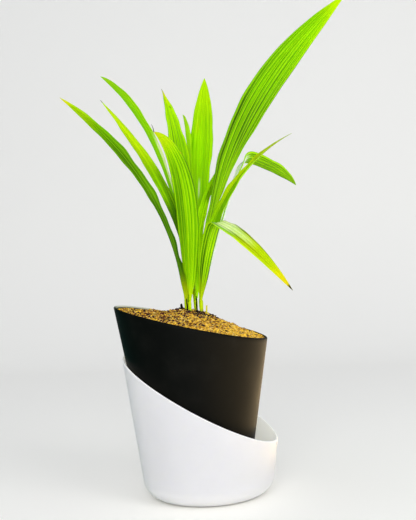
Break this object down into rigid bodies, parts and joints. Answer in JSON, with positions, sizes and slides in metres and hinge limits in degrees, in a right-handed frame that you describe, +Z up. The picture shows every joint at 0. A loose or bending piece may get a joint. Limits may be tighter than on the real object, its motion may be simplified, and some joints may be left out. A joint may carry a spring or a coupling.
{
  "type": "potted young fan palm",
  "caption": "Clump of young fan palm shoots with undivided pleated leaves, in a black slant-cut pot that stands inside a white slant-cut outer pot with a watering gap.",
  "frame": {"origin": "centre of the outer pot's flat underside", "axes": "+Z up, +X towards the low side of both slanted rims, +Y away from the camera side of the plant"},
  "size_m": [0.2088, 0.1675, 0.3748],
  "materials": {
    "outer_pot": "satin",
    "inner_pot": "satin",
    "soil": "matte",
    "shoot": "satin",
    "leaf": "satin",
    "dead_sheath": "matte",
    "cut_stalk": "satin"
  },
  "bodies": {
    "root": {"outer_pot": "outer_pot", "inner_pot": "inner_pot", "inner_pot_foot_1": "inner_pot", "inner_pot_foot_2": "inner_pot", "inner_pot_foot_3": "inner_pot", "soil": "soil", "shoot_left": "shoot", "shoot_front": "shoot", "shoot_centre": "shoot", "shoot_right": "shoot", "shoot_rear_right": "shoot", "shoot_rear_left": "shoot", "leaf_01": "leaf", "leaf_02": "leaf", "leaf_03": "leaf", "leaf_04": "leaf", "leaf_05": "leaf", "leaf_06": "leaf", "leaf_07": "leaf", "leaf_08": "leaf", "leaf_09": "leaf", "leaf_10_stem": "leaf", "leaf_10_blade": "leaf", "leaf_11_stem": "leaf", "leaf_11_blade": "leaf", "leaf_12": "leaf", "dead_sheath_left": "dead_sheath", "dead_sheath_front": "dead_sheath", "dead_stalk_right": "dead_sheath", "cut_stalk": "cut_stalk"}
  },
  "joints": []
}
